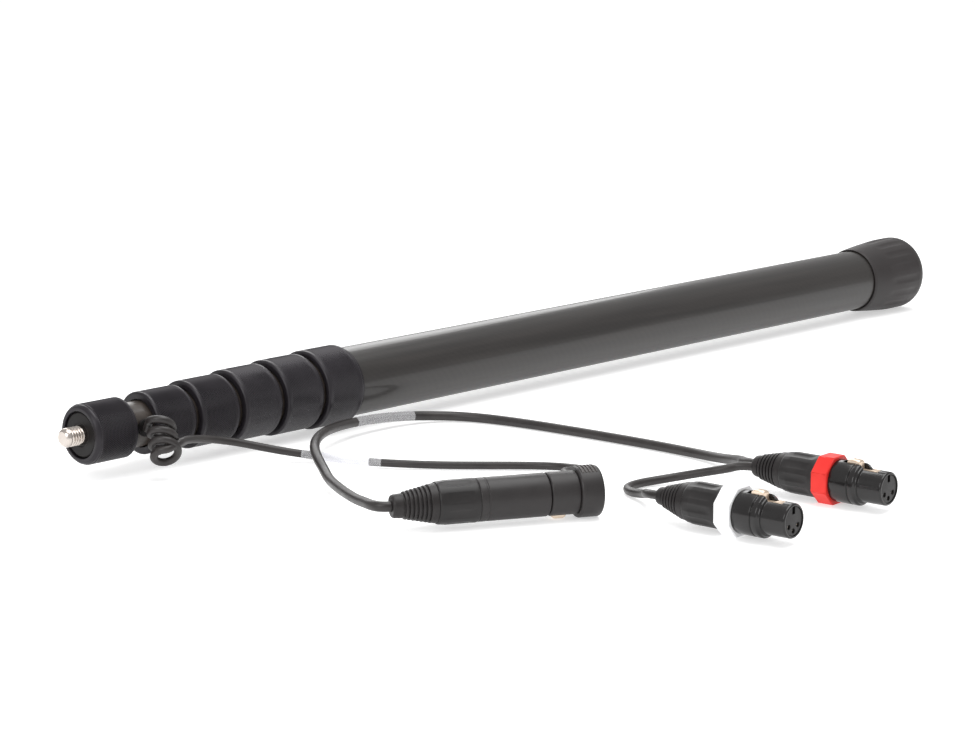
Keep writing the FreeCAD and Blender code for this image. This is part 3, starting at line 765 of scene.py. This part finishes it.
# Control points, millimetres, stations from the stud's free end.
lead_after_coil = [
    (41.5, -34.0, 17.2), (45.5, -33.6, 18.2), (51.0, -31.2, 18.4), (61.0, -28.2, 16.9),
    (71.0, -27.0, 14.9), (80.0, -28.2, 12.8), (88.5, -31.8, 10.6), (97.0, -38.2, 8.0),
    (106.5, -46.2, 5.4), (115.0, -55.5, 3.8), (120.8, -68.0, 3.1), (126.5, -82.0, 2.9),
    (135.0, -96.0, 2.8), (148.5, -111.5, 2.3), (165.5, -129.5, 2.3), (179.5, -145.0, 2.4),
    (186.5, -158.5, 2.8), (184.5, -173.0, 4.4), (175.5, -184.5, 7.0), (163.5, -192.0, 10.0),
    (152.0, -193.5, 12.6), (144.0, -197.2, 13.8), (139.1, -204.7, 14.0), (131.9, -218.3, 14.0),
]
y_lead_route = [
    (45.4, -181.4, 12.0), (41.6, -178.9, 12.0), (41.6, -172.5, 11.8), (45.5, -164.5, 10.9),
    (50.0, -154.0, 9.8), (57.0, -140.5, 8.8), (66.8, -124.3, 7.2), (79.5, -104.0, 5.6),
    (87.5, -91.5, 7.4), (94.5, -79.5, 10.0), (103.5, -67.5, 11.4), (115.5, -55.5, 11.4),
    (130.0, -44.0, 10.6), (147.0, -33.5, 9.2), (166.5, -27.2, 8.0), (187.0, -25.4, 6.8),
    (205.5, -26.0, 5.2), (221.0, -30.0, 3.6), (233.5, -40.0, 2.9), (241.0, -56.0, 2.7),
    (246.0, -79.0, 2.7), (249.5, -106.0, 2.7), (252.5, -136.0, 2.7), (254.5, -165.0, 2.7),
    (254.0, -189.0, 2.9), (250.5, -206.0, 4.0), (244.0, -220.0, 6.6), (235.5, -232.0, 9.6),
    (227.4, -239.5, 11.4), (228.0, -250.0, 11.5),
]
white_leg_route = [
    (223.3, -250.4, 11.5), (222.3, -241.9, 11.2), (216.5, -237.0, 9.4), (212.0, -226.0, 6.6),
    (206.5, -215.5, 3.8), (197.0, -209.5, 2.6), (186.5, -206.6, 2.3), (176.5, -208.5, 2.3),
    (170.5, -216.5, 2.6), (167.0, -228.0, 4.2), (159.5, -237.0, 7.4), (147.4, -245.4, 11.2),
    (147.8, -255.9, 11.5),
]


def coil_points():
    """The few hanging turns: out of the cable hole, then round and down, opening towards the front."""
    top, bottom = Vector((41.7, -24.0, 28.0)), Vector((39.4, -31.5, 11.0))
    first_normal, last_normal = Vector((-0.40, -0.42, -0.81)), Vector((-0.55, -0.66, -0.52))
    right = Vector((0.694, -0.72, 0.0))
    turns, per_turn = 3.25, 16
    count = int(turns * per_turn)
    points = [Vector((42.0, -9.8, 23.1)), Vector((41.6, -13.4, 23.2)), Vector((39.6, -16.6, 23.4))]
    for i in range(count + 1):
        t = i / count
        centre = top.lerp(bottom, t)
        normal = first_normal.lerp(last_normal, t).normalized()
        across = (right - normal * right.dot(normal)).normalized()
        up = normal.cross(across)
        if up.z < 0:
            up = -up
        angle = math.radians(180) - 2 * math.pi * turns * t
        radius = 5.6 + 0.8 * t + 0.25 * math.sin(2.3 * i / per_turn * math.pi)
        points.append(centre + (across * math.cos(angle) + up * math.sin(angle)) * radius)
    return [tuple(p) for p in points]


def spline_object(name, points, radius_mm, material=None, resolution=10):
    """One open NURBS spline through the route's control points, with a round section."""
    curve = bpy.data.curves.new(name, "CURVE")
    curve.dimensions = "3D"
    curve.resolution_u = resolution
    curve.bevel_depth = radius_mm * MM
    curve.bevel_resolution = 6
    curve.use_fill_caps = radius_mm > 0
    spline = curve.splines.new("NURBS")
    spline.points.add(len(points) - 1)
    for target, point in zip(spline.points, points):
        target.co = (*spot(point), 1.0)
    spline.order_u = 3
    spline.use_endpoint_u = True
    obj = bpy.data.objects.new(name, curve)
    bpy.context.scene.collection.objects.link(obj)
    if material:
        curve.materials.append(materials[material])
    return obj


def centre_line(points):
    """The spline's own line as a list of points, read from Blender."""
    line = spline_object("line", points, 0.0)
    bpy.context.view_layer.update()
    mesh = bpy.data.meshes.new_from_object(line.evaluated_get(bpy.context.evaluated_depsgraph_get()))
    found = [v.co.copy() for v in mesh.vertices]
    bpy.data.objects.remove(line)
    return found


def line_length(line):
    return sum((b - a).length for a, b in zip(line, line[1:]))


def distance_to(line, point):
    """How far along a line its nearest point to a station point is."""
    target = spot(point)
    nearest = min(range(len(line)), key=lambda i: (line[i] - target).length)
    return line_length(line[:nearest + 1])


def sleeve_on(name, line, start, length, inner_mm, outer_mm, material, shrink=0.0):
    """A thin tube round a stretch of a cord's line, with drawn-in ends."""
    travelled, picked = 0.0, []
    for a, b in zip(line, line[1:]):
        step = (b - a).length
        if start <= travelled <= start + length:
            picked.append((a, (b - a).normalized(), (travelled - start) / length))
        travelled += step
    vertices, faces = [], []
    around = 28
    side_hint = Vector((0, 0, 1))
    for layer, radius in (("outer", outer_mm), ("inner", inner_mm)):
        for position, direction, t in picked:
            side = direction.cross(side_hint).normalized()
            top = side.cross(direction)
            edge = min(t, 1 - t) * length / MM
            pull = 0.0 if layer == "inner" else shrink * max(0.0, 1 - edge / 2.5)
            wrinkle = 0.0 if layer == "inner" else 0.03 * math.sin(t * 40.0)
            for k in range(around):
                angle = 2 * math.pi * k / around
                r = (radius - pull + wrinkle) * MM
                vertices.append(position + (side * math.cos(angle) + top * math.sin(angle)) * r)
    rings = len(picked)
    for layer in range(2):
        base = layer * rings * around
        for i in range(rings - 1):
            for k in range(around):
                n = (k + 1) % around
                faces.append((base + i * around + k, base + i * around + n, base + (i + 1) * around + n,
                              base + (i + 1) * around + k))
    for i in (0, rings - 1):
        for k in range(around):
            n = (k + 1) % around
            faces.append((i * around + k, i * around + n, (rings + i) * around + n, (rings + i) * around + k))
    return finish_mesh(name, vertices, faces, material)


def build_cords():
    pole_route = coil_points() + lead_after_coil
    pole_line = centre_line(pole_route)
    y_line = centre_line(y_lead_route)
    leg_line = centre_line(white_leg_route)
    pole_lead = spline_object("pole_cord", pole_route, pole_lead_diameter / MM / 2, "cord_jacket", 6)
    y_lead = spline_object("y_cord", y_lead_route, y_lead_diameter / MM / 2, "cord_jacket")
    white_leg = spline_object("white_leg_cord", white_leg_route, white_leg_diameter / MM / 2, "cord_jacket")
    for obj, body, nodes in ((pole_lead, "tip_section", ("exit_coil", "pole_lead")),
                             (y_lead, "y_cable", ("y_lead",)), (white_leg, "y_cable", ("white_leg",))):
        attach(obj, body)
        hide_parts(*nodes)
    for prefix, line, first_point, length, diameter, body, node in (
            ("pole", pole_line, pole_label_start, pole_label_length, pole_lead_diameter, "tip_section", "pole_label"),
            ("y", y_line, y_label_start, y_label_length, y_lead_diameter, "y_cable", "y_label")):
        start, radius = distance_to(line, first_point), diameter / MM / 2
        sleeve = sleeve_on(prefix + "_label_sleeve", line, start, length, radius + 0.02, radius + 0.42,
                           "clear_sleeve", 0.3)
        pieces = [sleeve]
        if prefix == "pole":
            pieces.append(sleeve_on("pole_label_paper", line, start + paper_inset, length - 2 * paper_inset,
                                    radius, radius + 0.16, "label_paper"))
        for piece in pieces:
            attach(piece, body)
        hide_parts(node)


# ---------------------------------------------------------------- floor, light and camera
def build_floor():
    size = 6.0
    mesh = bpy.data.meshes.new("floor")
    corners = [(-size, -size, 0), (size, -size, 0), (size, size, 0), (-size, size, 0)]
    mesh.from_pydata(corners, [], [(0, 1, 2, 3)])
    floor = bpy.data.objects.new("floor", mesh)
    bpy.context.scene.collection.objects.link(floor)
    material, nodes, links, shader = new_material("floor_white")
    tone = noise(nodes, links, 3.0, 2.0)
    links.new(ramp(nodes, links, tone.outputs["Fac"], (0.70, 0.70, 0.70), (0.72, 0.72, 0.72)),
              shader.inputs["Base Color"])
    shader.inputs["Roughness"].default_value = 0.7
    shader.inputs["Emission Color"].default_value = (1, 1, 1, 1)
    shader.inputs["Emission Strength"].default_value = 0.52
    floor.data.materials.append(material)


def area_light(name, location, target, width, height, power):
    data = bpy.data.lights.new(name, "AREA")
    data.shape = "RECTANGLE"
    data.size, data.size_y, data.energy = width, height, power
    lamp = bpy.data.objects.new(name, data)
    lamp.location = location
    lamp.rotation_euler = (Vector(target) - Vector(location)).to_track_quat("-Z", "Y").to_euler()
    bpy.context.scene.collection.objects.link(lamp)
    return lamp


def build_light():
    world = bpy.data.worlds.new("studio")
    world.use_nodes = True
    world.node_tree.nodes["Background"].inputs["Color"].default_value = (1.0, 1.0, 1.0, 1)
    world.node_tree.nodes["Background"].inputs["Strength"].default_value = 0.62
    bpy.context.scene.world = world
    area_light("top_box", (0.1, -0.2, 1.6), (0.0, 0.0, 0.0), 1.6, 1.2, 24)
    area_light("back_box", (0.9, 1.5, 1.0), (0.0, 0.0, 0.05), 1.6, 0.9, 14)
    area_light("left_box", (-1.6, -0.4, 0.9), (-0.1, 0.0, 0.02), 0.8, 0.8, 9)


def build_camera():
    data = bpy.data.cameras.new("camera")
    data.sensor_width = 36.0
    data.lens = 3000.0 / 975.0 * 36.0
    data.clip_end = 50.0
    camera = bpy.data.objects.new("camera", data)
    camera.location = (stud_tip_x - 0.8779, -1.1326, 0.3443)
    camera.rotation_euler = (math.radians(90 - 11.57), 0, math.radians(-46.05))
    bpy.context.scene.collection.objects.link(camera)
    bpy.context.scene.camera = camera


bpy.context.scene.view_settings.view_transform = "Standard"
dress_cad_nodes()
build_collars()
build_head()
build_stud()
build_cap()
pair_pieces = build_pair()
red_pieces = build_cable_end("red", red_tip, red_heading, y_cords)
white_pieces = build_cable_end("white", white_tip, white_heading, leg_cords)
build_cords()
build_floor()
build_light()
build_camera()
